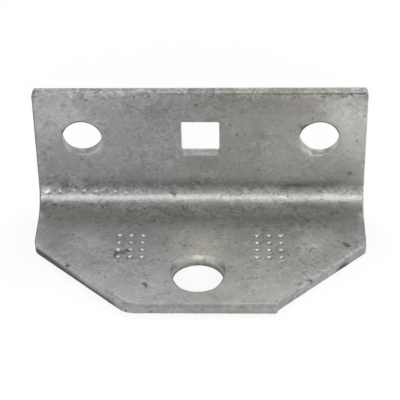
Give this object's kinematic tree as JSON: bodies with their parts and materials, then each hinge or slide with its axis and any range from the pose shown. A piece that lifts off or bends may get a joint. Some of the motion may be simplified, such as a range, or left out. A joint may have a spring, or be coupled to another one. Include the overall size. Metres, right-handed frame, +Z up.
{
  "type": "stamped metal bracket",
  "caption": "Right-angle stamped steel bracket: an upright wall with round bolt holes beside a square hole, and a foot with cropped front corners, a bolt hole and grip pits.",
  "frame": {"origin": "under the middle of the bounding box, on the plane of the foot's underside", "axes": "+X along the fold, +Y from the foot's front edge towards the wall's back face, +Z up the wall"},
  "size_m": [0.0888, 0.046, 0.0394],
  "materials": {
    "galvanised_steel": "hot-dip galvanised, matt, mottled grey"
  },
  "bodies": {
    "root": {"bracket": "galvanised_steel"}
  },
  "joints": []
}
